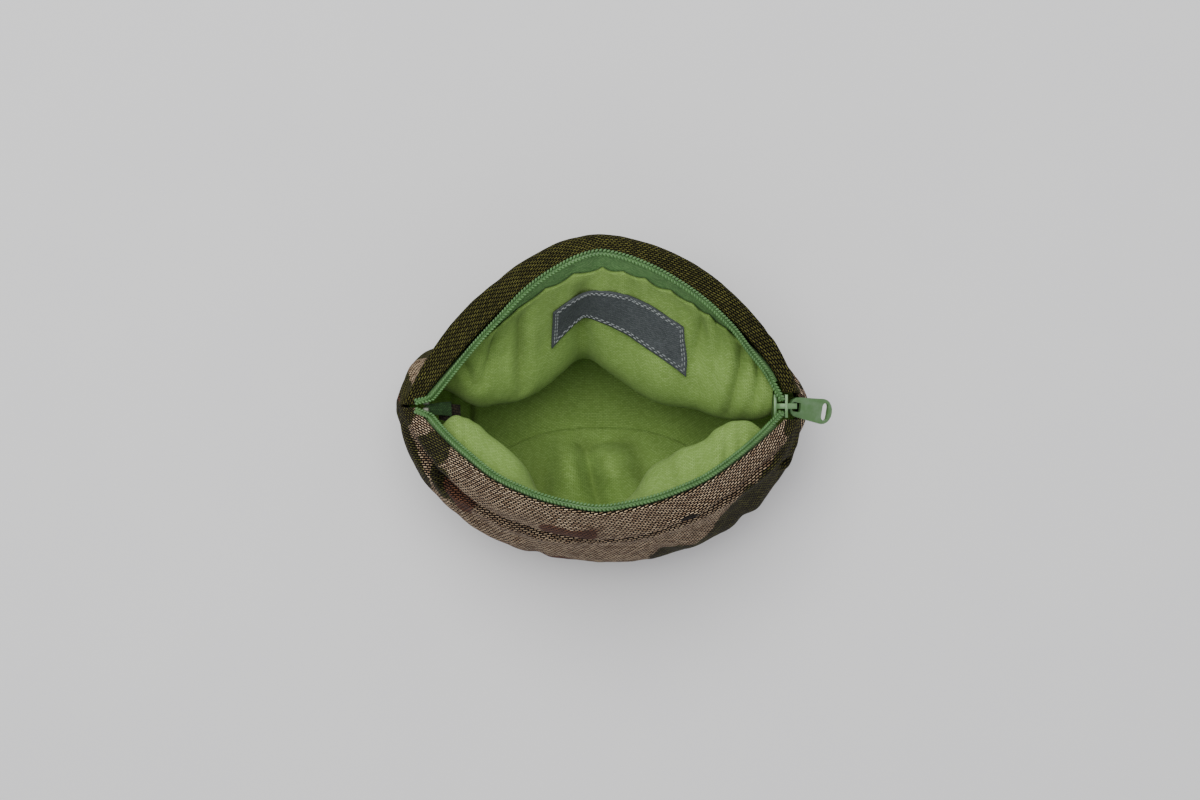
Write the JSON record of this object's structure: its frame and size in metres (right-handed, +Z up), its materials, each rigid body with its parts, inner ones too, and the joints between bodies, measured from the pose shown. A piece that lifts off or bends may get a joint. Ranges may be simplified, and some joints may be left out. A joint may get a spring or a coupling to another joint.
{
  "type": "round zipped pouch",
  "caption": "Small round zipped cloth pouch with a flat base, standing with its mouth open, lime green lining, green zip and a swinging pull tab.",
  "frame": {"origin": "middle of the flat base, on the surface it stands on", "axes": "+X to the right along the mouth toward the slider, +Y to the back, +Z up"},
  "size_m": [0.1605, 0.1164, 0.1067],
  "materials": {
    "print_cloth": "coarse weave, sand and brown print",
    "olive_cloth": "coarse weave, dark olive",
    "lining_cotton": "plain cotton",
    "zip_tape": "woven tape",
    "zip_nylon": "satin",
    "green_paint": "satin paint",
    "stop_metal": "satin",
    "label_weave": "woven strip"
  },
  "bodies": {
    "pouch": {"shell_front": "print_cloth", "shell_back": "olive_cloth", "shell_gusset": "print_cloth", "lining_front": "lining_cotton", "lining_back": "lining_cotton", "lining_gusset": "lining_cotton", "tape_front": "zip_tape", "tape_back": "zip_tape", "coil_front": "zip_nylon", "coil_back": "zip_nylon", "slider": "green_paint", "stop_front": "stop_metal", "stop_back": "stop_metal", "zip_tails": "zip_tape", "end_tab": "olive_cloth", "label": "label_weave"},
    "pull": {"pull_tab": "green_paint"}
  },
  "joints": [
    {"name": "pull_swing", "type": "hinge", "parent": "pouch", "child": "pull", "pos_m": [0.06875, -0.0072, 0.0575], "axis": [-0.1564, -0.9877, 0], "range_deg": [0, 120]}
  ]
}
